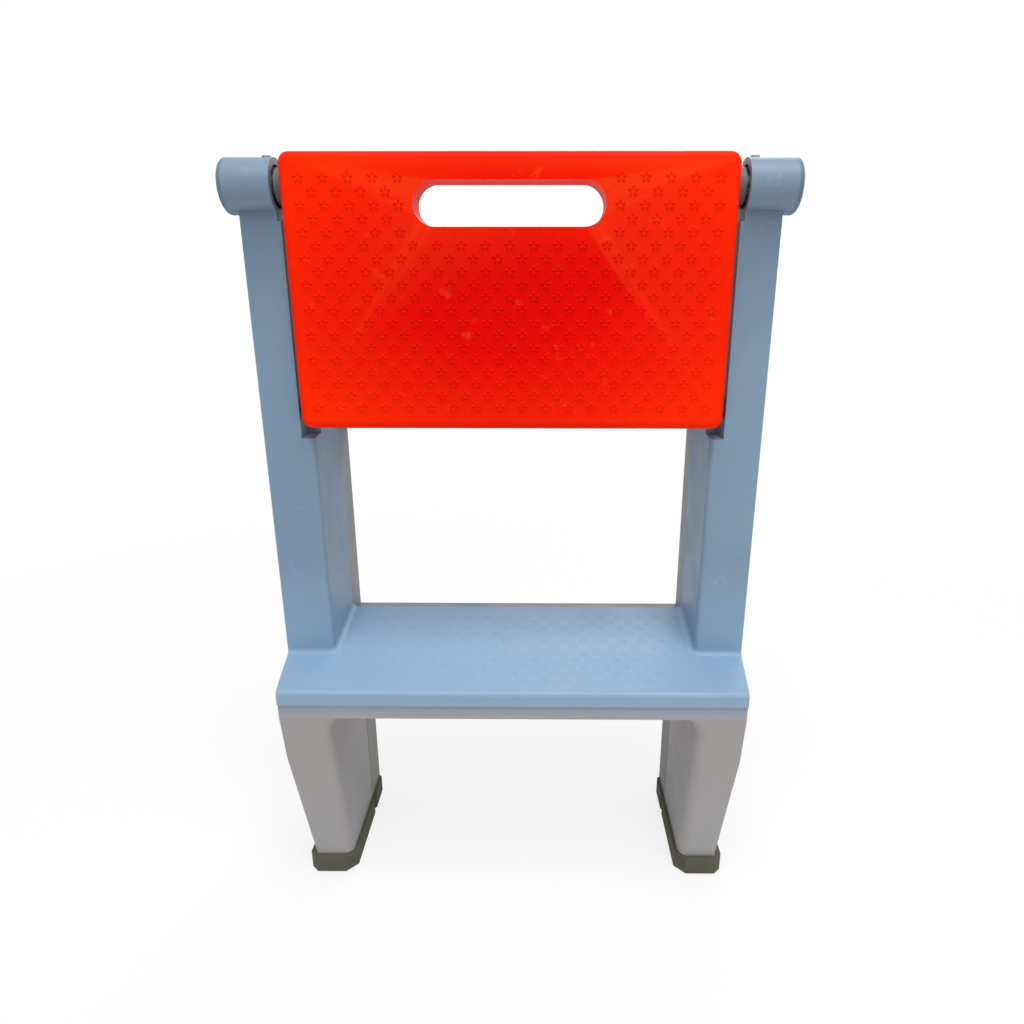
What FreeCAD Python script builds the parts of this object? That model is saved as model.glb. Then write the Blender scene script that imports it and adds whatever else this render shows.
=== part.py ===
import FreeCAD, Part
import math
import os
import re
import Sketcher

# Folding step stool chair, folded flat and standing on its four boots.
# X runs across the stool, Y from front to back, Z up; the origin is on the floor,
# in the middle of the footprint.

DRIVING = {
    # front frame: widths run in from its outer face, heights from the floor or the hinge
    "frame_width": 396.0,
    "front_face": -27.0,
    "front_back": 42.0,
    "top_drop": 2.0,
    "top_chamfer": 22.0,
    "low_post": 40.5,
    "high_post": 30.0,
    "arm_post": 27.2,
    "arm_floor_drop": 24.0,
    "ledge_drop": 16.5,
    "ledge_rise": 8.0,
    "ledge_clearance": 0.9,
    "frame_wall": 4.0,
    "edge_round": 4.0,
    "pivot_web": 16.0,
    # lower step and legs
    "tread_back_height": 237.0,
    "tread_reach": 51.0,
    "tread_front_height": 215.0,
    "lip_height": 12.0,
    "lip_inset": 2.0,
    "apron_bottom": 190.0,
    "step_taper": 5.5,
    "foot_taper": 11.25,
    "foot_round": 5.0,
    "leg_post": 44.5,
    "leg_gap_round": 18.0,
    "leg_edge_round": 9.0,
    "toe_reach": 9.0,
    # rear frame
    "frame_gap": 1.6,
    "rear_depth": 34.4,
    "rear_drop": 6.0,
    "rear_post": 38.5,
    "rear_inset": 1.0,
    "rear_step_top": 224.5,
    "rail_height": 11.0,
    # top hinge
    "hinge_inset": 9.0,
    "hinge_z": 600.0,
    "knuckle_radius": 19.5,
    "knuckle_stand": 7.0,
    "cup_radius": 15.0,
    "bush_inset": 2.0,
    "pin_radius": 9.0,
    "pin_play": 0.05,
    "pin_end_gap": 1.0,
    "arm_side": 0.5,
    "arm_thickness": 5.5,
    "arm_radius": 13.0,
    "arm_edge": 4.0,
    "arm_rise": 8.0,
    "arm_root_low": 60.0,
    "arm_root_high": 10.0,
    "cap_thickness": 4.0,
    "cap_round": 3.5,
    "cap_spigot": 3.0,
    "screw_radius": 2.0,
    "screw_tip_gap": 2.0,
    "screw_head_radius": 3.4,
    "screw_head_height": 1.9,
    "screw_sink": 0.9,
    "screw_neck": 1.1,
    "screw_inset": 4.0,
    # seat
    "seat_side": 4.5,
    "seat_foot": 13.5,
    "seat_rise": 21.0,
    "seat_proud": 13.0,
    "seat_depth": 30.0,
    "seat_wall": 4.0,
    "seat_round": 6.0,
    "seat_corner": 8.0,
    "slot_width": 138.0,
    "slot_height": 31.0,
    "slot_drop": 34.5,
    "pivot_inset": 10.0,
    "pivot_z": 438.0,
    "pivot_radius": 5.0,
    "pivot_hold": 19.5,
    "pivot_cover": 10.0,
    "pivot_end_gap": 1.0,
    "pivot_bush_radius": 7.5,
    "rib_margin": 2.0,
    "seat_lean": 13.5,
    "spread": 23.0,
    "pad_thickness": 1.5,
    "pad_width": 60.0,
    "pad_place": 110.0,
    "pad_edge": 4.0,
    # boots
    "boot_height": 19.0,
    "boot_wall": 3.0,
    "boot_outer_wall": 7.0,
    "boot_toe": 6.0,
    "boot_sole": 5.0,
    "boot_chamfer": 10.0,
    "boot_notch": 4.0,
    "boot_corner": 6.0,
    "boot_round": 2.0,
    "running_gap": 0.4,
}

# Sizes and places that follow from the driving ones.
DERIVED = {
    "upright_top": "hinge_z - top_drop",
    "low_gap_width": "frame_width - 2 * low_post",
    "high_gap_width": "frame_width - 2 * high_post",
    "arm_gap_width": "frame_width - 2 * arm_post",
    "leg_gap_width": "frame_width - 2 * leg_post",
    "arm_gap_floor": "hinge_z - arm_floor_drop",
    "ledge_height": "seat_bottom - ledge_drop",
    "ledge_step": "pivot_y + pivot_bush_radius + ledge_clearance",
    "tread_front": "front_face - tread_reach",
    "toe_front": "front_face - toe_reach",
    "step_front_width": "frame_width - 2 * step_taper",
    "foot_width": "frame_width - 2 * foot_taper",
    "rear_top": "hinge_z - rear_drop",
    "rear_width": "frame_width - 2 * rear_inset",
    "rear_gap_width": "frame_width - 2 * rear_post",
    "hinge_y": "front_face + hinge_inset",
    "knuckle_end": "frame_width / 2 + knuckle_stand",
    "bush_inner_end": "arm_gap_width / 2 + bush_inset",
    "screw_place": "bush_inner_end + screw_inset",
    "screw_tip": "hinge_z + pin_radius + screw_tip_gap",
    "arm_inner": "seat_width / 2 + arm_side",
    "arm_outer": "arm_inner + arm_thickness",
    "seat_width": "high_gap_width - 2 * seat_side",
    "seat_bottom": "pivot_z - seat_foot",
    "seat_top": "hinge_z + seat_rise",
    "seat_front": "front_face - seat_proud",
    "slot_centre": "seat_top - slot_drop",
    "pivot_y": "front_face + pivot_inset",
    "pivot_inner_end": "seat_width / 2 - pivot_hold",
    "pivot_outer_end": "frame_width / 2 - pivot_cover",
}

# How far a cutting tool reaches past the face that it opens.
PAST = "20"
NEAR_PAST = "5"
JUST_PAST = "1"

REAR_COLUMNS = 6
SEAT_COLUMNS = 6
TREAD_COLUMNS = 6

# Lines in the side view that several pieces share.
TREAD_SLOPE = "(tread_back_height - tread_front_height) / (front_back - tread_front)"
SEAT_SLOPE = "tan(seat_lean)"
SEAT_BEHIND = "(seat_front + seat_depth - pivot_y)"
REAR_FRONT = "(front_back + frame_gap)"
REAR_BACK = "(front_back + frame_gap + rear_depth)"

doc = FreeCAD.newDocument("folding_step_stool")
sheet = doc.addObject("Spreadsheet::Sheet", "sizes")
for row, (alias, number) in enumerate(DRIVING.items(), start=1):
    sheet.set("A%d" % row, alias)
    sheet.set("B%d" % row, str(number))
    sheet.setAlias("B%d" % row, alias)
doc.recompute()

pieces = []
WORD = re.compile(r"[a-z_]+")


def size(alias):
    """The sheet's value of one driving dimension."""
    return float(sheet.get(alias))


def bound(text):
    """The expression with each size written out and pointing at the sheet."""
    def point(match):
        word = match.group()
        if word in DERIVED:
            return "(" + bound(DERIVED[word]) + ")"
        return "sizes." + word if word in DRIVING else word
    return WORD.sub(point, text)


def tread_line(y):
    """Height of the tread's top at the place y, as an expression."""
    return "tread_front_height + (%s - tread_front) * %s" % (y, TREAD_SLOPE)


def seat_line(y):
    """Height of the unfolded seat's underside at the place y, as an expression."""
    return "pivot_z - %s / cos(seat_lean) + (%s - pivot_y) * %s" % (SEAT_BEHIND, y, SEAT_SLOPE)


TURNS = {
    "X": FreeCAD.Rotation(FreeCAD.Vector(1, 1, 1), 120),
    "Y": FreeCAD.Rotation(FreeCAD.Vector(1, 0, 0), 90),
    "Z": FreeCAD.Rotation(),
}
AXES = {
    "X": FreeCAD.Vector(1, 0, 0),
    "Y": FreeCAD.Vector(0, 1, 0),
    "Z": FreeCAD.Vector(0, 0, 1),
}


def outline(sketch, points):
    """A closed polygon whose corners are bound to the sheet."""
    count = len(points)
    start = [FreeCAD.Vector(50 * math.cos(2 * math.pi * i / count),
                            50 * math.sin(2 * math.pi * i / count), 0) for i in range(count)]
    for i in range(count):
        sketch.addGeometry(Part.LineSegment(start[i], start[(i + 1) % count]))
    for i in range(count):
        sketch.addConstraint(Sketcher.Constraint("Coincident", i, 2, (i + 1) % count, 1))
    for i, corner in enumerate(points):
        for kind, text in zip(("DistanceX", "DistanceY"), corner):
            place = start[i].x if kind == "DistanceX" else start[i].y
            index = sketch.addConstraint(Sketcher.Constraint(kind, -1, 1, i, 1, place))
            sketch.setExpression("Constraints[%d]" % index, bound(text))


def prism(name, axis, points, low, high):
    """A polygon drawn square to an axis and stretched along it from low to high."""
    sketch = doc.addObject("Sketcher::SketchObject", name + "_outline")
    sketch.Placement = FreeCAD.Placement(FreeCAD.Vector(), TURNS[axis])
    outline(sketch, points)
    solid = doc.addObject("Part::Extrusion", name)
    solid.Base = sketch
    solid.DirMode = "Custom"
    solid.Dir = AXES[axis]
    solid.Solid = True
    solid.setExpression("LengthFwd", bound(high))
    solid.setExpression("LengthRev", bound("-(%s)" % low))
    return solid


def block(name, x, y, z):
    """A box between pairs of expressions."""
    solid = doc.addObject("Part::Box", name)
    for (low, high), length, place in zip((x, y, z), ("Length", "Width", "Height"), "xyz"):
        solid.setExpression(length, bound("(%s) - (%s)" % (high, low)))
        solid.setExpression("Placement.Base." + place, bound(low))
    return solid


def rod(name, axis, radius, low, high, across):
    """A cylinder along an axis from low to high, at a place across that axis."""
    solid = doc.addObject("Part::Cylinder", name)
    solid.setExpression("Radius", bound(radius))
    solid.setExpression("Height", bound("(%s) - (%s)" % (high, low)))
    turn = {"X": FreeCAD.Rotation(AXES["Y"], 90), "Y": FreeCAD.Rotation(AXES["X"], -90)}
    solid.Placement = FreeCAD.Placement(FreeCAD.Vector(), turn.get(axis, FreeCAD.Rotation()))
    solid.setExpression("Placement.Base." + axis.lower(), bound(low))
    for place, text in zip([a for a in "xyz" if a != axis.lower()], across):
        solid.setExpression("Placement.Base." + place, bound(text))
    return solid


def fuse(name, shapes):
    """Several shapes as one."""
    joined = doc.addObject("Part::MultiFuse", name)
    joined.Shapes = shapes
    joined.Refine = True
    return joined


def cut(name, base, tools):
    """The base less one or more tools."""
    tool = tools[0] if len(tools) == 1 else fuse(name + "_tools", tools)
    result = doc.addObject("Part::Cut", name)
    result.Base = base
    result.Tool = tool
    result.Refine = True
    return result


def mirrored(name, source):
    """The same piece on the other side of the stool."""
    twin = doc.addObject("Part::Mirroring", name)
    twin.Source = source
    twin.Normal = AXES["X"]
    return twin


def both(name, source):
    """A shape and its mirror image."""
    return [source, mirrored(name + "_twin", source)]


def rounded(name, base, radius, wanted):
    """The base with a radius on each edge that the test picks."""
    doc.recompute()
    picked = [i for i, edge in enumerate(base.Shape.Edges, start=1) if wanted(edge)]
    if not picked:
        raise RuntimeError(name + ": no edge to round")
    result = doc.addObject("Part::Fillet", name)
    result.Base = base
    result.Edges = [(i, radius, radius) for i in picked]
    return result


def near(number, target, slack=0.01):
    """True for a number within the slack of its target."""
    return abs(number - target) < slack


def along(edge, axis):
    """True for a straight edge along the axis."""
    if not isinstance(edge.Curve, Part.Line):
        return False
    return near(abs(edge.tangentAt(edge.FirstParameter).dot(AXES[axis])), 1)


def keep(name, solid):
    """Name a finished piece; its label names its file."""
    solid.Label = name
    pieces.append(solid)
    return solid


def keep_pair(name, right):
    """Keep a right-hand piece and its mirror image on the left."""
    keep(name + "_right", right)
    keep(name + "_left", mirrored(name + "_mirrored", right))


def hinge_line():
    """Where the top hinge's axis lies across X."""
    return ("hinge_y", "hinge_z")


def pivot_line():
    """Where the seat pivot's axis lies across X."""
    return ("pivot_y", "pivot_z")


def front_casting():
    """Uprights, step and front legs as one outer form, before hollowing."""
    side = prism("front_side", "X", [
        ("front_back", "boot_sole"),
        ("front_back", "upright_top - top_chamfer"),
        ("front_back - top_chamfer", "upright_top"),
        ("front_face", "upright_top"),
        ("front_face", tread_line("front_face")),
        ("tread_front", "tread_front_height"),
        ("tread_front", "tread_front_height - lip_height"),
        ("tread_front + lip_inset", "tread_front_height - lip_height"),
        ("tread_front + lip_inset", "apron_bottom"),
        ("toe_front", "boot_sole"),
    ], "-frame_width / 2", "frame_width / 2")
    ahead = "tread_front - " + PAST
    behind = "front_back + " + PAST
    above = "upright_top + " + PAST
    gaps = [
        prism("low_gap", "X", [
            (ahead, tread_line("(%s)" % ahead)),
            (behind, tread_line("(%s)" % behind)),
            (behind, above),
            (ahead, above),
        ], "-low_gap_width / 2", "low_gap_width / 2"),
        prism("high_gap", "X", [
            (ahead, "ledge_height"),
            ("ledge_step", "ledge_height + ledge_rise"),
            ("ledge_step", seat_line("ledge_step") + " - running_gap"),
            (behind, seat_line("(%s)" % behind) + " - running_gap"),
            (behind, above),
            (ahead, above),
        ], "-high_gap_width / 2", "high_gap_width / 2"),
        block("arm_gap", ("-arm_gap_width / 2", "arm_gap_width / 2"),
              (ahead, behind), ("arm_gap_floor", above)),
        leg_gap("front_leg_gap", ahead, behind),
    ]
    corner = prism("step_taper", "Z", [
        ("frame_width / 2", "front_face"),
        ("frame_width / 2 + " + PAST, "front_face"),
        ("frame_width / 2 + " + PAST, "tread_front - " + JUST_PAST),
        ("step_front_width / 2", "tread_front - " + JUST_PAST),
    ], "-" + PAST, "tread_back_height + " + PAST)
    wedge = leg_wedge("front_leg_wedge", ahead, behind)
    return cut("front_form", side, gaps + both("step_taper", corner) + both("front_wedge", wedge))


def leg_wedge(name, front, back):
    """What is cut from outside a leg so that it narrows to its foot."""
    return prism(name, "Y", [
        ("foot_width / 2", "boot_height"),
        ("foot_width / 2", "-" + PAST),
        ("frame_width / 2 + " + PAST, "-" + PAST),
        ("frame_width / 2 + " + PAST, "tread_front_height"),
        ("frame_width / 2", "tread_front_height"),
    ], front, back)


def leg_gap(name, front, back):
    """The arch between a pair of legs, with rounded upper corners."""
    arch = block(name + "_box", ("-leg_gap_width / 2", "leg_gap_width / 2"), (front, back),
                 ("-" + PAST, "apron_bottom"))
    top = size("apron_bottom")
    return rounded(name, arch, size("leg_gap_round"),
                   lambda e: along(e, "Y") and near(e.CenterOfMass.z, top))


def rounded_front(form):
    """Soft edges where hands and feet meet the front frame."""
    half_gap = size("frame_width") / 2 - size("low_post")
    half_leg = size("frame_width") / 2 - size("leg_post")
    face = size("front_face")
    step = face - size("tread_reach")
    top = size("tread_front_height")
    knee = size("apron_bottom") - size("leg_gap_round")
    shin = rounded("shin_rounded", form, size("leg_edge_round"),
                   lambda e: near(abs(e.CenterOfMass.x), half_leg) and e.CenterOfMass.z < knee
                   and e.CenterOfMass.y < face)
    lip = rounded("lip_rounded", shin, size("edge_round"),
                  lambda e: along(e, "X") and near(e.CenterOfMass.y, step)
                  and near(e.CenterOfMass.z, top))
    posts = rounded("posts_rounded", lip, size("edge_round"),
                    lambda e: along(e, "Z") and near(e.CenterOfMass.y, face)
                    and near(abs(e.CenterOfMass.x), half_gap))
    foot = size("tread_back_height")
    return rounded("posts_blended", posts, size("foot_round"),
                    lambda e: e.CenterOfMass.z < foot and e.CenterOfMass.z > top
                    and (near(e.CenterOfMass.y, face) and along(e, "X")
                         or near(abs(e.CenterOfMass.x), half_gap)
                         or near(abs(e.CenterOfMass.x), half_gap + 1, 2)))


def front_cells():
    """Cells open to the back, which leave ribs and an even wall."""
    outer = "frame_width / 2 - frame_wall"
    front = "front_face + frame_wall"
    open_back = "front_back + " + JUST_PAST
    cells = []
    low = "tread_back_height + frame_wall"
    for i in range(3):
        bay = "(ledge_height - frame_wall - (%s)) / 3" % low
        cells.append(block("low_cell_%d" % i, ("low_gap_width / 2 + frame_wall", outer),
                           (front, open_back),
                           ("%s + %d * %s" % (low, i, bay),
                            "%s + %d * %s - frame_wall" % (low, i + 1, bay))))
    floor = "pivot_z + pivot_web"
    for i in range(2):
        bay = "(arm_gap_floor - frame_wall - (%s)) / 2" % floor
        cells.append(block("high_cell_%d" % i, ("high_gap_width / 2 + frame_wall", outer),
                           (front, open_back),
                           ("%s + %d * %s" % (floor, i, bay),
                            "%s + %d * %s - frame_wall" % (floor, i + 1, bay))))
    for i in range(3):
        bay = "(apron_bottom - boot_height - frame_wall) / 3"
        cells.append(block("leg_cell_%d" % i, ("leg_gap_width / 2 + frame_wall",
                                               "foot_width / 2 - frame_wall"),
                           ("toe_front + frame_wall", open_back),
                           ("boot_height + frame_wall + %d * %s" % (i, bay),
                            "boot_height + %d * %s" % (i + 1, bay))))
    sides = []
    for cell in cells:
        sides += both(cell.Name, cell)
    span = "(leg_gap_width - 2 * leg_gap_round)"
    for i in range(TREAD_COLUMNS):
        low_x = "-%s / 2 + %d * %s / %d + frame_wall / 2" % (span, i, span, TREAD_COLUMNS)
        high_x = "-%s / 2 + %d * %s / %d - frame_wall / 2" % (span, i + 1, span, TREAD_COLUMNS)
        front_y = "(tread_front + lip_inset + frame_wall)"
        back_y = "(front_back - frame_wall)"
        sides.append(prism("tread_cell_%d" % i, "X", [
            (front_y, "apron_bottom - " + JUST_PAST),
            (back_y, "apron_bottom - " + JUST_PAST),
            (back_y, tread_line(back_y) + " - frame_wall"),
            (front_y, tread_line(front_y) + " - frame_wall"),
        ], low_x, high_x))
    return sides


def front_heel(name, top):
    """The slice behind a front leg that its boot's back wall fills."""
    return block(name, ("leg_gap_width / 2 - " + JUST_PAST, "frame_width / 2 + " + JUST_PAST),
                 ("front_back - boot_wall", "front_back + " + JUST_PAST), ("0", top))


def make_front_frame(form):
    """The front frame with its knuckles, sockets and hollow back."""
    knuckle = rod("knuckle", "X", "knuckle_radius", "arm_gap_width / 2", "knuckle_end", hinge_line())
    cup = rod("cup", "X", "cup_radius", "arm_gap_width / 2 - " + JUST_PAST,
              "knuckle_end + " + JUST_PAST, hinge_line())
    screw_hole = rod("screw_hole", "Z", "screw_radius", "screw_tip",
                     "hinge_z + knuckle_radius + " + JUST_PAST, ("screw_place", "hinge_y"))
    pivot = rod("pivot_socket", "X", "pivot_bush_radius", "high_gap_width / 2 - " + JUST_PAST,
                "pivot_outer_end", pivot_line())
    heel = front_heel("front_heel", "boot_height")
    solid = fuse("front_with_knuckles", [form] + both("knuckle", knuckle))
    hollow = front_cells()
    for tool in (cup, screw_hole, pivot, heel):
        hollow += both(tool.Name, tool)
    keep("front_frame", cut("front_frame", solid, hollow))


def rail_top():
    """Height of the rear rail's front edge that meets the unfolded seat on its pads."""
    ahead = "(front_back + frame_gap - hinge_y)"
    rise = "hinge_z + %s * sin(spread) - pivot_z + %s / cos(seat_lean)" % (ahead, SEAT_BEHIND)
    run = "(hinge_y + %s * cos(spread) - pivot_y) * %s" % (ahead, SEAT_SLOPE)
    drop = "(%s - %s) / (cos(spread) + sin(spread) * %s)" % (rise, run, SEAT_SLOPE)
    return "(hinge_z - %s - pad_thickness - running_gap)" % drop


def make_rear_frame():
    """The frame that folds flat behind the first and swings back on two arms."""
    slope = "tan(spread - seat_lean)"
    plate = block("rear_plate", ("-rear_width / 2", "rear_width / 2"), (REAR_FRONT, REAR_BACK),
                  ("boot_sole", "rear_top"))
    top = rail_top()
    edge = size("frame_width") / 2 - size("rear_inset")
    back = size("front_back") + size("frame_gap") + size("rear_depth")
    roof = size("hinge_z") - size("rear_drop")
    plate = rounded("rear_plate_rounded", plate, size("edge_round"),
                    lambda e: near(e.CenterOfMass.y, back)
                    and (near(abs(e.CenterOfMass.x), edge) or near(e.CenterOfMass.z, roof)))
    ahead = "%s - %s" % (REAR_FRONT, NEAR_PAST)
    behind = "%s + %s" % (REAR_BACK, NEAR_PAST)
    above = "rear_top + " + PAST
    rail_ahead = "%s + %s * %s" % (top, NEAR_PAST, slope)
    rail_behind = "%s - (rear_depth + %s) * %s" % (top, NEAR_PAST, slope)
    gaps = [
        prism("rear_high_gap", "X", [
            (ahead, rail_ahead),
            (behind, rail_behind),
            (behind, above),
            (ahead, above),
        ], "-high_gap_width / 2", "high_gap_width / 2"),
        prism("rear_low_gap", "X", [
            (ahead, "rear_step_top"),
            (behind, "rear_step_top"),
            (behind, rail_behind + " - rail_height"),
            (ahead, rail_ahead + " - rail_height"),
        ], "-rear_gap_width / 2", "rear_gap_width / 2"),
        leg_gap("rear_leg_gap", ahead, behind),
    ]
    gaps += both("rear_wedge", leg_wedge("rear_leg_wedge", ahead, behind))
    arm = fuse("hinge_arm", [
        rod("arm_eye", "X", "arm_radius", "arm_inner", "arm_outer", hinge_line()),
        prism("arm_plate", "X", [
            ("hinge_y", "hinge_z - arm_radius"),
            (REAR_FRONT + " + arm_edge", "hinge_z - arm_radius"),
            (REAR_BACK + " - arm_edge", "rear_top - arm_root_low"),
            (REAR_BACK, "rear_top - arm_root_low"),
            (REAR_BACK, "rear_top - arm_root_high"),
            (REAR_FRONT + " + arm_rise", "hinge_z + arm_radius"),
            ("hinge_y", "hinge_z + arm_radius"),
        ], "arm_inner", "arm_outer"),
    ])
    pin_hole = rod("arm_pin_hole", "X", "pin_radius - pin_play", "arm_inner - " + JUST_PAST,
                   "arm_outer + " + JUST_PAST, hinge_line())
    body = fuse("rear_with_arms", [cut("rear_form", plate, gaps)] + both("hinge_arm", arm))
    inner = "high_gap_width / 2 + frame_wall"
    outer = "foot_width / 2 - frame_wall"
    cells = []
    for i in range(REAR_COLUMNS):
        bay = "(rear_top - boot_height - 2 * frame_wall) / %d" % REAR_COLUMNS
        cells.append(block("rear_cell_%d" % i, (inner, outer),
                           (REAR_FRONT + " + frame_wall", REAR_BACK + " + " + JUST_PAST),
                           ("boot_height + 2 * frame_wall + %d * %s" % (i, bay),
                            "boot_height + frame_wall + %d * %s" % (i + 1, bay))))
    across = ("leg_gap_width / 2 - " + JUST_PAST, "rear_width / 2 + " + JUST_PAST)
    walls = (("rear_toe", REAR_FRONT + " - " + JUST_PAST, REAR_FRONT + " + boot_wall"),
             ("rear_heel", REAR_BACK + " - boot_wall", REAR_BACK + " + " + JUST_PAST))
    for name, low, high in walls:
        cells.append(block(name, across, (low, high), ("0", "boot_height")))
    cells.append(pin_hole)
    tools = []
    for cell in cells:
        tools += both(cell.Name, cell)
    keep("rear_frame", cut("rear_frame", body, tools))
    pad_ahead = "%s - pad_edge * %s" % (top, slope)
    pad_behind = "%s - (rear_depth - pad_edge) * %s" % (top, slope)
    pad = prism("rest_pad", "X", [
        (REAR_FRONT + " + pad_edge", pad_ahead),
        (REAR_BACK + " - pad_edge", pad_behind),
        (REAR_BACK + " - pad_edge", pad_behind + " + pad_thickness"),
        (REAR_FRONT + " + pad_edge", pad_ahead + " + pad_thickness"),
    ], "pad_place - pad_width / 2", "pad_place + pad_width / 2")
    keep_pair("seat_rest_pad", pad)


def stadium(name, half_width, radius, low, high):
    """An upright slot shape along Y, with full round ends."""
    ends = [rod(name + "_end_" + side, "Y", radius, low, high,
                (sign + "(%s - slot_height / 2)" % half_width, "slot_centre"))
            for side, sign in (("right", "1 * "), ("left", "-1 * "))]
    straight = "(%s - slot_height / 2)" % half_width
    middle = block(name + "_middle", ("-" + straight, straight), (low, high),
                   ("slot_centre - (%s)" % radius, "slot_centre + %s" % radius))
    return fuse(name, ends + [middle])


def make_seat():
    """The seat panel: a skin with ribs behind, a hand slot and pivot bosses."""
    back = "(seat_front + seat_depth)"
    slab = block("seat_slab", ("-seat_width / 2", "seat_width / 2"), ("seat_front", back),
                 ("seat_bottom", "seat_top"))
    corners = rounded("seat_corners", slab, size("seat_corner"), lambda e: along(e, "Y"))
    front = size("front_face") - size("seat_proud")
    skin = rounded("seat_skin", corners, size("seat_round"),
                   lambda e: near(e.CenterOfMass.y, front))
    cells = []
    bay = "(seat_width - seat_wall) / %d" % SEAT_COLUMNS
    boss_top = "pivot_z + pivot_bush_radius + rib_margin"
    slot_floor = "slot_centre - slot_height / 2 - seat_wall"
    rows = (("seat_bottom + seat_wall", boss_top),
            (boss_top + " + seat_wall", slot_floor + " - seat_wall"),
            (slot_floor, "seat_top - seat_wall - rib_margin"))
    for i in range(SEAT_COLUMNS):
        low = "-seat_width / 2 + seat_wall + %d * %s" % (i, bay)
        high = "-seat_width / 2 + %d * %s" % (i + 1, bay)
        for j, (floor, roof) in enumerate(rows):
            if j == 0 and i in (0, SEAT_COLUMNS - 1):
                continue
            cells.append(block("seat_cell_%d_%d" % (i, j), (low, high),
                               ("seat_front + seat_wall", back + " + " + JUST_PAST),
                               (floor, roof)))
    collar = stadium("slot_collar", "slot_width / 2", "(slot_height / 2 + seat_wall)",
                     "seat_front + seat_wall / 2", back)
    slot = stadium("slot", "slot_width / 2", "(slot_height / 2)", "seat_front - " + NEAR_PAST,
                   "%s + %s" % (back, NEAR_PAST))
    bore = rod("seat_bore", "X", "pivot_radius", "pivot_inner_end", "seat_width / 2 + " + JUST_PAST,
               pivot_line())
    ribbed = fuse("seat_with_collar", [cut("seat_ribbed", skin, cells), collar])
    keep("seat_panel", cut("seat_panel", ribbed, [slot] + both("seat_bore", bore)))


def make_hinges():
    """Pins, bushes, end caps and screws of the two top knuckles."""
    pin = rod("hinge_pin", "X", "pin_radius - pin_play", "arm_inner",
              "knuckle_end - cap_spigot - pin_end_gap",
              hinge_line())
    keep_pair("hinge_pin", pin)
    sleeve = rod("bush_sleeve", "X", "cup_radius", "bush_inner_end",
                 "knuckle_end - cap_spigot - running_gap", hinge_line())
    bush = cut("hinge_bush", sleeve, [
        rod("bush_bore", "X", "pin_radius", "bush_inner_end - " + JUST_PAST, "knuckle_end",
            hinge_line()),
        rod("bush_screw_hole", "Z", "screw_radius", "screw_tip",
            "hinge_z + cup_radius + " + JUST_PAST, ("screw_place", "hinge_y")),
    ])
    keep_pair("hinge_bush", bush)
    disc = rod("cap_disc", "X", "knuckle_radius", "knuckle_end", "knuckle_end + cap_thickness",
               hinge_line())
    end = size("frame_width") / 2 + size("knuckle_stand") + size("cap_thickness")
    disc = rounded("cap_face", disc, size("cap_round"),
                   lambda e: near(e.CenterOfMass.x, end) and not along(e, "X"))
    spigot = rod("cap_plug", "X", "cup_radius", "knuckle_end - cap_spigot",
                 "knuckle_end + cap_thickness / 2", hinge_line())
    keep_pair("knuckle_cap", fuse("knuckle_cap", [disc, spigot]))
    head_seat = "hinge_z + knuckle_radius - screw_sink"
    shank = rod("screw_shank", "Z", "screw_radius", "screw_tip", head_seat + " + screw_neck",
                ("screw_place", "hinge_y"))
    head = rod("screw_head", "Z", "screw_head_radius", head_seat, head_seat + " + screw_head_height",
               ("screw_place", "hinge_y"))
    knuckle = rod("screw_seat", "X", "knuckle_radius", "arm_gap_width / 2", "knuckle_end",
                  hinge_line())
    cross = rod("driver_recess", "Z", "screw_radius / 2", head_seat + " + screw_neck",
                head_seat + " + screw_head_height + " + JUST_PAST, ("screw_place", "hinge_y"))
    keep_pair("bush_screw", fuse("bush_screw", [shank, cut("screw_crown", head, [knuckle, cross])]))


def make_seat_pivots():
    """Pins low on the seat's sides and the bushes that they turn in."""
    pin = rod("seat_pivot_pin", "X", "pivot_radius", "pivot_inner_end",
              "pivot_outer_end - pivot_end_gap", pivot_line())
    keep_pair("seat_pivot_pin", pin)
    sleeve = rod("pivot_sleeve", "X", "pivot_bush_radius", "seat_width / 2 + running_gap",
                 "pivot_outer_end", pivot_line())
    hole = rod("pivot_hole", "X", "pivot_radius + pin_play", "seat_width / 2 - " + JUST_PAST,
               "pivot_outer_end - pivot_end_gap + running_gap", pivot_line())
    keep_pair("seat_pivot_bush", cut("seat_pivot_bush", sleeve, [hole]))


def boot(name, low_y, high_y, leg, chamfer, notch):
    """A rubber boot: a block round the foot of a leg, hollowed by the leg itself."""
    inner = "leg_gap_width / 2 - boot_wall"
    outer = "foot_width / 2 + boot_outer_wall"
    solid = prism(name + "_block", "Z", [
        (inner, "%s + %s" % (low_y, chamfer)),
        ("%s + %s" % (inner, chamfer), low_y),
        (outer + " - boot_corner", low_y),
        (outer, low_y + " + boot_corner"),
        (outer, high_y),
        ("%s + %s" % (inner, notch), high_y),
        (inner, "%s - %s" % (high_y, notch)),
    ], "0", "boot_height")
    soft = rounded(name + "_soft", solid, size("boot_round"), lambda e: near(e.CenterOfMass.z, 0))
    return cut(name, soft, [leg])


def make_boots(form):
    """Four rubber boots; the front frame's form hollows the front pair."""
    leg = cut("front_leg_core", form, [front_heel("front_heel_core", "boot_height + " + JUST_PAST)])
    keep_pair("front_boot", boot("front_boot", "toe_front - boot_toe", "front_back + running_gap",
                                 leg, "boot_chamfer", "boot_notch"))
    rear_leg = block("rear_leg_core", ("leg_gap_width / 2", "foot_width / 2"),
                     (REAR_FRONT + " + boot_wall", REAR_BACK + " - boot_wall"),
                     ("boot_sole", "boot_height + " + JUST_PAST))
    keep_pair("rear_boot", boot("rear_boot", REAR_FRONT + " - running_gap", REAR_BACK, rear_leg,
                                "boot_notch", "boot_notch"))


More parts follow.
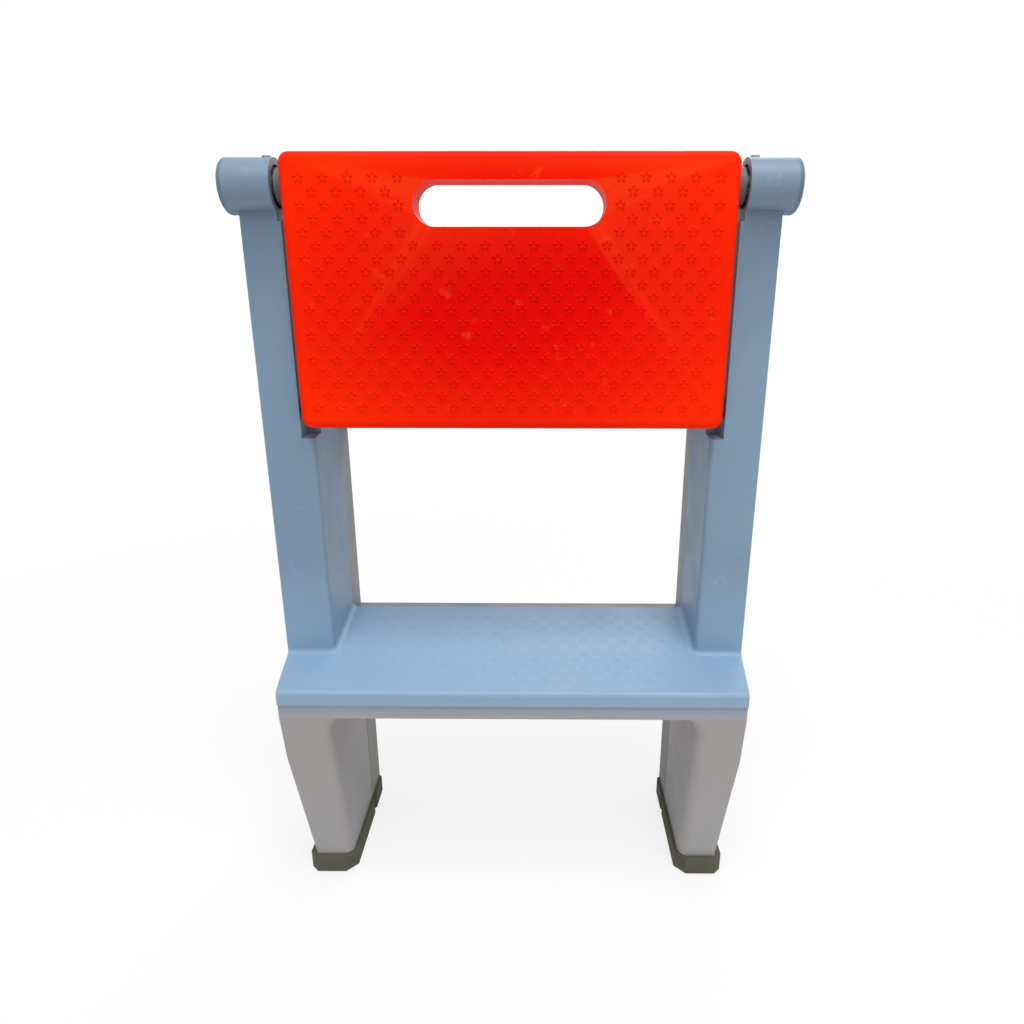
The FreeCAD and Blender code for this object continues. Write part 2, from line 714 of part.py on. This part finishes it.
def check_document():
    """Stop at any object that failed or any piece without a valid shape."""
    doc.recompute()
    for item in doc.Objects:
        if "Invalid" in item.State or "Error" in item.State:
            raise RuntimeError("%s: %s" % (item.Name, item.State))
    for piece in pieces:
        if piece.Shape.isNull() or not piece.Shape.isValid():
            raise RuntimeError("%s: no valid shape" % piece.Label)


front_form = rounded_front(front_casting())
make_front_frame(front_form)
make_rear_frame()
make_seat()
make_hinges()
make_seat_pivots()
make_boots(front_form)
check_document()

os.makedirs("parts", exist_ok=True)
for piece in pieces:
    piece.Shape.exportStep(os.path.join("parts", piece.Label + ".step"))
    print("%-24s %8.1f cm3 %d solid" % (piece.Label, piece.Shape.Volume / 1000, len(piece.Shape.Solids)))
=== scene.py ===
import math

import bmesh
import bpy
from mathutils import Matrix, Vector


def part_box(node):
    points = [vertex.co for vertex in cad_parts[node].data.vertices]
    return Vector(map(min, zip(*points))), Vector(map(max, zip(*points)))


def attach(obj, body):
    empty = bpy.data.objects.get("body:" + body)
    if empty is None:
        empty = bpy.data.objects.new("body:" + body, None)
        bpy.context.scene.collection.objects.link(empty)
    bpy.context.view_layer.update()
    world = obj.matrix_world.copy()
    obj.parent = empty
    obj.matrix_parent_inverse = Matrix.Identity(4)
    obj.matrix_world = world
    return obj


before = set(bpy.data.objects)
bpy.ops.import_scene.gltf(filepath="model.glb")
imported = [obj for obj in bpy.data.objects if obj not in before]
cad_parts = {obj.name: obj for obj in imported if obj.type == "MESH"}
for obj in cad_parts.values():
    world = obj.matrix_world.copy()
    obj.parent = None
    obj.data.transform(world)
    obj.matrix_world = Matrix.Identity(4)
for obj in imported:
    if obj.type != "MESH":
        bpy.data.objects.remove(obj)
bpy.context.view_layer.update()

# Camera, as fitted to the photograph: place in metres, angles in degrees.
CAMERA_PLACE = (0.0232, -0.5925, 0.5285)
CAMERA_PITCH = 17.28
CAMERA_YAW = 0.44
CAMERA_ROLL = 0.04
CAMERA_LENS = 25.34
CAMERA_SHIFT = (-0.0233, 0.0012)

# Raised grip marks: small flowers of short arms, in staggered rows. The first arm is turned
# by a share of the angle between arms, and the margin is kept around the hand slot.
MARK_ARMS = 5
MARK_TURN = 0.25
MARK_RADIUS = 0.0042
MARK_ARM_LENGTH = 0.36 * MARK_RADIUS
MARK_ARM_PLACE = 0.62 * MARK_RADIUS
MARK_ARM_WIDTH = 0.0015
MARK_HEIGHT = 0.00095
STEP_MARK_HEIGHT = 0.00030
MARK_PITCH = 0.0175
MARK_ROW = 0.0090
MARK_MARGIN = 0.0062
DOME_RINGS = 3
DOME_STEPS = 8

# Hand slot: the height of its middle, half its straight length, and its end radius.
SLOT_HEIGHT = 0.5865
SLOT_STRAIGHT = 0.0535
SLOT_RADIUS = 0.0155

# Seat panel: half its width, the height of its middle, half its height, and how far marks
# keep from its edges.
SEAT_HALF_WIDTH = 0.162
SEAT_MIDDLE = 0.523
SEAT_HALF_HEIGHT = 0.098
SEAT_MARK_EDGE = 0.010

# Step: its top's front and back edge, how far marks keep from them, half the width that is
# marked between the posts and ahead of them, and the depth at which the posts start.
STEP_FRONT = Vector((0, -0.078, 0.215))
STEP_BACK = Vector((0, 0.042, 0.237))
STEP_MARK_EDGE = 0.008
STEP_HALF_BETWEEN_POSTS = 0.149
STEP_HALF_AHEAD = 0.180
POSTS_START = -0.036

# Heights between which painted light and shade fade in: a warm floor bounce low down, a brighter lit
# step top, and shade by the hinge.
PAINTED_BOUNCE_FADE = (0.208, 0.190)
PAINTED_STEP_LIGHT_FADE = (0.31, 0.245)
PAINTED_HINGE_SHADE_FADE = (0.47, 0.60)

# Where the seat's painted lighter rim sets in, from 0 at its middle to 1 and more at its edges.
PAINTED_RIM_FADE = (0.15, 1.4)

# Painted edge highlights: the sharpness at which the painted highlight starts and is full, and its
# largest share.
EDGE_HIGHLIGHT = (0.57, 0.70)
EDGE_HIGHLIGHT_SHARE = 0.5

# Columns and rows of marks on each side of the middle, before the bare places are left out.
SEAT_MARK_COUNTS = (11, 13)
STEP_MARK_COUNTS = (12, 8)

# Lamps: name, place and target in metres, width, height, and power in watts.
LAMPS = (
    ("key", (0.1, -0.70, 2.2), (0, 0, 0.3), 1.2, 1.0, 36.0),
    ("fill", (1.0, -1.9, 0.7), (0, 0, 0.2), 1.2, 1.2, 3.0),
    ("rear", (0.5, 1.7, 1.6), (0, 0, 0.3), 1.2, 1.0, 12.0),
)
WORLD_FILL = 0.50

# Floor: half its width, how far it lies below the boots, and where it fades to white.
FLOOR_HALF = 6.0
FLOOR_DROP = 0.0005
FLOOR_FADE = (0.45, 1.3)
FLOOR_WHITE = (0.80, 1.0)


def srgb(red, green, blue):
    """A linear colour from display values of 0 to 255."""
    return tuple((c / 255 / 12.92) if c < 10 else ((c / 255 + 0.055) / 1.055) ** 2.4
                 for c in (red, green, blue)) + (1.0,)


class Nodes:
    """A short way to build one material's node tree."""

    def __init__(self, name):
        """A new material with its shader and its place in the piece's own space."""
        self.material = bpy.data.materials.new(name)
        self.material.use_nodes = True
        self.tree = self.material.node_tree
        self.shader = self.tree.nodes["Principled BSDF"]
        coords = self.tree.nodes.new("ShaderNodeTexCoord")
        self.place = coords.outputs["Object"]

    def add(self, kind, **values):
        """A new node, with values set on its sockets or settings."""
        node = self.tree.nodes.new(kind)
        for key, value in values.items():
            if key in node.inputs:
                node.inputs[key].default_value = value
            else:
                setattr(node, key, value)
        return node

    def link(self, source, target):
        """Join an output to an input."""
        self.tree.links.new(source, target)

    def noise(self, scale, detail=4.0, roughness=0.55):
        """Soft noise in the piece's own space."""
        node = self.add("ShaderNodeTexNoise", Scale=scale, Detail=detail, Roughness=roughness)
        self.link(self.place, node.inputs["Vector"])
        return node.outputs["Fac"]

    def ramp(self, source, low, high, low_value=0.0, high_value=1.0):
        """Map the range from low to high onto two values, held at its ends."""
        node = self.add("ShaderNodeMapRange", clamp=True)
        node.inputs["From Min"].default_value = low
        node.inputs["From Max"].default_value = high
        node.inputs["To Min"].default_value = low_value
        node.inputs["To Max"].default_value = high_value
        self.link(source, node.inputs["Value"])
        return node.outputs["Result"]

    def maths(self, operation, first, second=None):
        """The result of a sum with outputs or numbers."""
        node = self.add("ShaderNodeMath", operation=operation)
        for value, socket in ((first, node.inputs[0]), (second, node.inputs[1])):
            if hasattr(value, "is_output"):
                self.link(value, socket)
            elif value is not None:
                socket.default_value = value
        return node.outputs[0]

    def mix(self, factor, first, second):
        """From the first colour to the second as the factor grows."""
        node = self.add("ShaderNodeMix", data_type="RGBA")
        self.link(factor, node.inputs["Factor"])
        for value, socket in ((first, node.inputs[6]), (second, node.inputs[7])):
            if hasattr(value, "is_output"):
                self.link(value, socket)
            else:
                socket.default_value = value
        return node.outputs[2]

    def bump(self, source, strength, distance, before=None):
        """Relief from a height, laid over an earlier relief if there is one."""
        node = self.add("ShaderNodeBump", Strength=strength, Distance=distance)
        self.link(source, node.inputs["Height"])
        if before is not None:
            self.link(before, node.inputs["Normal"])
        return node.outputs["Normal"]


def moulded_plastic(name, base, dark, light, rough, grain, low=None, step=None, high=None,
                    painted_rim_light=None, gloss=0.4):
    """Moulded plastic: slow colour drift, lighter scuffs, a fine spark-eroded grain, and painted
    highlights on its sharp edges.
    It may fade to a painted warm floor bounce low down, a painted brighter top on the step, painted
    shade by the hinge, and a painted lighter, more orange rim towards the seat's edges."""
    n = Nodes(name)
    drift = n.ramp(n.noise(9.0), 0.35, 0.68)
    colour = n.mix(drift, base, dark)
    place = n.add("ShaderNodeSeparateXYZ")
    n.link(n.place, place.inputs[0])
    # Painted light: the step's top is made brighter, as if lit from above.
    if step is not None:
        colour = n.mix(n.ramp(place.outputs["Z"], *PAINTED_STEP_LIGHT_FADE), colour, step)
    # Painted light: a warm floor bounce low down.
    if low is not None:
        colour = n.mix(n.ramp(place.outputs["Z"], *PAINTED_BOUNCE_FADE, 0.0, 0.9), colour, low)
    # Painted shade: darker by the hinge at the top.
    if high is not None:
        colour = n.mix(n.ramp(place.outputs["Z"], *PAINTED_HINGE_SHADE_FADE), colour, high)
    # Painted light: the seat panel grows lighter and more orange towards its edges.
    if painted_rim_light is not None:
        colour = n.mix(n.ramp(seat_edge(n, place), *PAINTED_RIM_FADE), colour, painted_rim_light)
    scuffs = n.noise(60.0, 6.0, 0.7)
    colour = n.mix(n.ramp(scuffs, 0.62, 0.80, 0.0, 0.5), colour, light)
    # Painted highlight: sharp edges are mixed towards the lighter colour, as if they caught the
    # light.
    geometry = n.add("ShaderNodeNewGeometry")
    edge = n.ramp(geometry.outputs["Pointiness"], *EDGE_HIGHLIGHT, 0.0, EDGE_HIGHLIGHT_SHARE)
    colour = n.mix(edge, colour, light)
    n.link(colour, n.shader.inputs["Base Color"])
    n.link(n.ramp(n.noise(35.0), 0.3, 0.7, rough - 0.06, rough + 0.08), n.shader.inputs["Roughness"])
    coarse = n.bump(n.noise(30.0, 2.0), 0.10, 0.002)
    n.link(n.bump(n.noise(grain, 2.0), 0.22, 0.0004, coarse), n.shader.inputs["Normal"])
    n.shader.inputs["Specular IOR Level"].default_value = gloss
    return n.material


def seat_edge(n, place):
    """0 in the middle of the seat panel, 1 or more at its edges."""
    across = n.maths("DIVIDE", n.maths("ABSOLUTE", place.outputs["X"]), SEAT_HALF_WIDTH)
    off = n.maths("SUBTRACT", place.outputs["Z"], SEAT_MIDDLE)
    along = n.maths("DIVIDE", n.maths("ABSOLUTE", off), SEAT_HALF_HEIGHT)
    return n.maths("ADD", n.maths("MULTIPLY", across, across), n.maths("MULTIPLY", along, along))


def rubber(name, base, dark):
    """Matt rubber with dust in its pores."""
    n = Nodes(name)
    dust = n.ramp(n.noise(70.0, 6.0, 0.7), 0.4, 0.75)
    n.link(n.mix(dust, dark, base), n.shader.inputs["Base Color"])
    n.link(n.ramp(n.noise(140.0), 0.3, 0.7, 0.72, 0.9), n.shader.inputs["Roughness"])
    n.link(n.bump(n.noise(1500.0, 2.0), 0.3, 0.0004), n.shader.inputs["Normal"])
    return n.material


def steel(name, base, dark, rough):
    """Steel with a fine grain and a little tarnish."""
    n = Nodes(name)
    tarnish = n.ramp(n.noise(220.0), 0.4, 0.7)
    n.link(n.mix(tarnish, base, dark), n.shader.inputs["Base Color"])
    n.link(n.ramp(n.noise(400.0), 0.3, 0.7, rough - 0.08, rough + 0.1), n.shader.inputs["Roughness"])
    n.link(n.bump(n.noise(2500.0, 1.0), 0.15, 0.0002), n.shader.inputs["Normal"])
    n.shader.inputs["Metallic"].default_value = 1.0
    return n.material


def assign(material, *names):
    """Give one material to several CAD pieces."""
    for name in names:
        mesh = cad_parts[name].data
        mesh.materials.clear()
        mesh.materials.append(material)


def finish_materials():
    """One material for each kind of piece; returns those that new pieces share."""
    # frame_blue: low is a painted warm floor bounce, step a painted brighter step top, high painted
    # shade by the hinge; the lighter colour also paints edge highlights.
    frame_blue = moulded_plastic("frame_blue", srgb(120, 146, 168), srgb(112, 139, 162),
                                 srgb(146, 171, 191), 0.46, 900.0,
                                 low=srgb(160, 152, 147), step=srgb(126, 157, 184),
                                 high=srgb(90, 111, 131))
    # rear_blue: low is a painted warm floor bounce and high painted shade by the hinge; the lighter
    # colour also paints edge highlights.
    rear_blue = moulded_plastic("rear_blue", srgb(148, 152, 155), srgb(138, 143, 147),
                                srgb(164, 168, 172), 0.5, 900.0,
                                low=srgb(142, 136, 125), high=srgb(62, 60, 68), gloss=0.2)
    # seat_orange: the rim colour is painted light towards the edges, and the lighter colour paints
    # edge highlights as well as scuffs.
    seat_orange = moulded_plastic("seat_orange", srgb(229, 6, 0), srgb(215, 3, 0),
                                  srgb(255, 96, 36), 0.45, 1100.0,
                                  painted_rim_light=srgb(248, 38, 0), gloss=0.04)
    boots = rubber("boot_rubber", srgb(94, 91, 75), srgb(76, 74, 60))
    pads = rubber("pad_rubber", srgb(70, 70, 70), srgb(50, 50, 50))
    bushes = moulded_plastic("bush_black", srgb(46, 46, 50), srgb(36, 36, 40),
                             srgb(74, 74, 78), 0.5, 700.0)
    pins = steel("pin_steel", srgb(190, 190, 192), srgb(150, 150, 152), 0.3)
    screws = steel("screw_zinc", srgb(150, 160, 172), srgb(110, 118, 128), 0.4)
    sides = ("left", "right")
    assign(frame_blue, "front_frame", *("knuckle_cap_" + s for s in sides))
    assign(rear_blue, "rear_frame")
    assign(seat_orange, "seat_panel")
    assign(boots, *(end + "_boot_" + s for end in ("front", "rear") for s in sides))
    assign(pads, *("seat_rest_pad_" + s for s in sides))
    assign(bushes, *(kind + "_" + s for kind in ("hinge_bush", "seat_pivot_bush") for s in sides))
    assign(pins, *(kind + "_" + s for kind in ("hinge_pin", "seat_pivot_pin") for s in sides))
    assign(screws, *("bush_screw_" + s for s in sides))
    return frame_blue, seat_orange


def add_arm(mesh, centre, along, across, out, height):
    """One arm of a mark: a low oval dome on a surface."""
    levels = []
    for ring in range(DOME_RINGS):
        slope = 0.5 * math.pi * ring / DOME_RINGS
        lift = math.sin(slope)
        shrink = math.cos(slope)
        row = []
        for step in range(DOME_STEPS):
            turn = 2 * math.pi * step / DOME_STEPS
            row.append(mesh.verts.new(centre + along * (MARK_ARM_LENGTH * shrink * math.cos(turn))
                                      + across * (MARK_ARM_WIDTH / 2 * shrink * math.sin(turn))
                                      + out * (height * lift)))
        levels.append(row)
    tip = mesh.verts.new(centre + out * height)
    for low, high in zip(levels, levels[1:]):
        for i in range(DOME_STEPS):
            after = (i + 1) % DOME_STEPS
            mesh.faces.new((low[i], low[after], high[after], high[i]))
    for i in range(DOME_STEPS):
        mesh.faces.new((levels[-1][i], levels[-1][(i + 1) % DOME_STEPS], tip))


def grip_marks(name, origin, right, up, out, height, columns, rows, skip, material, body, slot):
    """Staggered rows of raised flowers on a flat face; skip says which places stay bare."""
    mesh = bmesh.new()
    for row in range(-rows, rows + 1):
        shift = MARK_PITCH / 2 if row % 2 else 0.0
        for column in range(-columns, columns + 1):
            u = column * MARK_PITCH + shift
            v = row * MARK_ROW
            if skip(u, v):
                continue
            for arm in range(MARK_ARMS):
                turn = 2 * math.pi * (arm + MARK_TURN) / MARK_ARMS
                along = right * math.cos(turn) + up * math.sin(turn)
                across = out.cross(along)
                centre = origin + right * u + up * v + along * MARK_ARM_PLACE
                add_arm(mesh, centre, along, across, out, height)
    data = bpy.data.meshes.new(name)
    bmesh.ops.recalc_face_normals(mesh, faces=mesh.faces)
    mesh.to_mesh(data)
    mesh.free()
    for face in data.polygons:
        face.use_smooth = True
    data.materials.append(material)
    piece = bpy.data.objects.new(name, data)
    bpy.context.collection.objects.link(piece)
    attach(piece, body)


def seat_marks(material):
    """Grip marks over the seat's face, clear of its edges and hand slot."""
    low, high = (Vector(corner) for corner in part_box("seat_panel"))
    origin = Vector((0, low.y, (low.z + high.z) / 2))
    slot_up = SLOT_HEIGHT - origin.z
    half_width = (high.x - low.x) / 2 - SEAT_MARK_EDGE
    half_height = (high.z - low.z) / 2 - SEAT_MARK_EDGE

    def skip(u, v):
        if abs(u) > half_width or abs(v) > half_height:
            return True
        beside = max(abs(u) - SLOT_STRAIGHT, 0.0)
        return math.hypot(beside, v - slot_up) < SLOT_RADIUS + MARK_MARGIN

    grip_marks("seat_grip_marks", origin, Vector((1, 0, 0)), Vector((0, 0, 1)), Vector((0, -1, 0)),
               MARK_HEIGHT, *SEAT_MARK_COUNTS, skip, material, "seat", "seat_plastic")


def step_marks(material):
    """Grip marks over the sloping step, between the posts and ahead of them."""
    up = (STEP_BACK - STEP_FRONT).normalized()
    right = Vector((1, 0, 0))
    out = right.cross(up)
    origin = (STEP_FRONT + STEP_BACK) / 2
    length = (STEP_BACK - STEP_FRONT).length / 2

    def skip(u, v):
        if abs(v) > length - STEP_MARK_EDGE:
            return True
        place = origin + up * v
        half = STEP_HALF_BETWEEN_POSTS if place.y > POSTS_START else STEP_HALF_AHEAD
        return abs(u) > half

    grip_marks("step_grip_marks", origin, right, up, out, STEP_MARK_HEIGHT,
               *STEP_MARK_COUNTS, skip, material, "front", "frame_plastic")


def white_for_camera(name, colour, near_share, far_share, near_radius, far_radius):
    """A pale stage surface that keeps soft shadows and fades to the white background."""
    n = Nodes(name)
    n.shader.inputs["Base Color"].default_value = colour
    n.shader.inputs["Roughness"].default_value = 0.9
    n.shader.inputs["Specular IOR Level"].default_value = 0.1
    reach = n.add("ShaderNodeVectorMath", operation="LENGTH")
    n.link(n.place, reach.inputs[0])
    share = n.ramp(reach.outputs["Value"], near_radius, far_radius, near_share, far_share)
    path = n.add("ShaderNodeLightPath")
    glow = n.add("ShaderNodeEmission", Strength=1.0)
    blend = n.add("ShaderNodeMixShader")
    n.link(n.maths("MULTIPLY", path.outputs["Is Camera Ray"], share), blend.inputs[0])
    n.link(n.shader.outputs[0], blend.inputs[1])
    n.link(glow.outputs[0], blend.inputs[2])
    n.link(blend.outputs[0], n.tree.nodes["Material Output"].inputs["Surface"])
    return n.material


def make_stage():
    """A wide pale floor."""
    data = bpy.data.meshes.new("floor")
    corners = [(x * FLOOR_HALF, y * FLOOR_HALF, 0) for x, y in ((-1, -1), (1, -1), (1, 1), (-1, 1))]
    data.from_pydata(corners, [], [(0, 1, 2, 3)])
    floor = bpy.data.objects.new("floor", data)
    floor.location.z = -FLOOR_DROP
    white = (0.85, 0.85, 0.85, 1)
    data.materials.append(white_for_camera("floor_white", white, *FLOOR_WHITE, *FLOOR_FADE))
    bpy.context.collection.objects.link(floor)


def larger(tree, first, second):
    """The larger of two outputs."""
    node = tree.nodes.new("ShaderNodeMath")
    node.operation = "MAXIMUM"
    tree.links.new(first, node.inputs[0])
    tree.links.new(second, node.inputs[1])
    return node.outputs[0]


def make_world():
    """White to the camera and in reflections, a soft grey dome to the surfaces."""
    world = bpy.data.worlds.new("studio")
    bpy.context.scene.world = world
    world.use_nodes = True
    tree = world.node_tree
    fill = tree.nodes["Background"]
    fill.inputs["Color"].default_value = (1, 1, 1, 1)
    fill.inputs["Strength"].default_value = WORLD_FILL
    seen = tree.nodes.new("ShaderNodeBackground")
    seen.inputs["Color"].default_value = (1, 1, 1, 1)
    seen.inputs["Strength"].default_value = 1.0
    path = tree.nodes.new("ShaderNodeLightPath")
    either = larger(tree, path.outputs["Is Camera Ray"], path.outputs["Is Glossy Ray"])
    any_of = larger(tree, either, path.outputs["Is Transmission Ray"])
    mix = tree.nodes.new("ShaderNodeMixShader")
    tree.links.new(any_of, mix.inputs[0])
    tree.links.new(fill.outputs[0], mix.inputs[1])
    tree.links.new(seen.outputs[0], mix.inputs[2])
    tree.links.new(mix.outputs[0], tree.nodes["World Output"].inputs["Surface"])


def lamp(name, place, target, width, height, power):
    """A soft rectangular light aimed at a target."""
    data = bpy.data.lights.new(name, "AREA")
    data.shape = "RECTANGLE"
    data.size = width
    data.size_y = height
    data.energy = power
    item = bpy.data.objects.new(name, data)
    item.location = place
    item.rotation_euler = (Vector(target) - Vector(place)).to_track_quat("-Z", "Y").to_euler()
    bpy.context.collection.objects.link(item)


def make_lights():
    """A high key, a low fill and a light from behind."""
    for values in LAMPS:
        lamp(*values)


def make_camera():
    """The fitted camera."""
    data = bpy.data.cameras.new("camera")
    data.sensor_width = 36.0
    data.lens = CAMERA_LENS
    data.shift_x, data.shift_y = CAMERA_SHIFT
    data.clip_start = 0.01
    item = bpy.data.objects.new("camera", data)
    turn = (Matrix.Rotation(math.radians(CAMERA_YAW), 4, "Z")
            @ Matrix.Rotation(math.radians(90 - CAMERA_PITCH), 4, "X")
            @ Matrix.Rotation(math.radians(CAMERA_ROLL), 4, "Z"))
    item.matrix_world = Matrix.Translation(CAMERA_PLACE) @ turn
    bpy.context.collection.objects.link(item)
    bpy.context.scene.camera = item


bpy.context.scene.view_settings.view_transform = "Standard"
frame_material, seat_material = finish_materials()
seat_marks(seat_material)
step_marks(frame_material)
make_stage()
make_world()
make_lights()
make_camera()
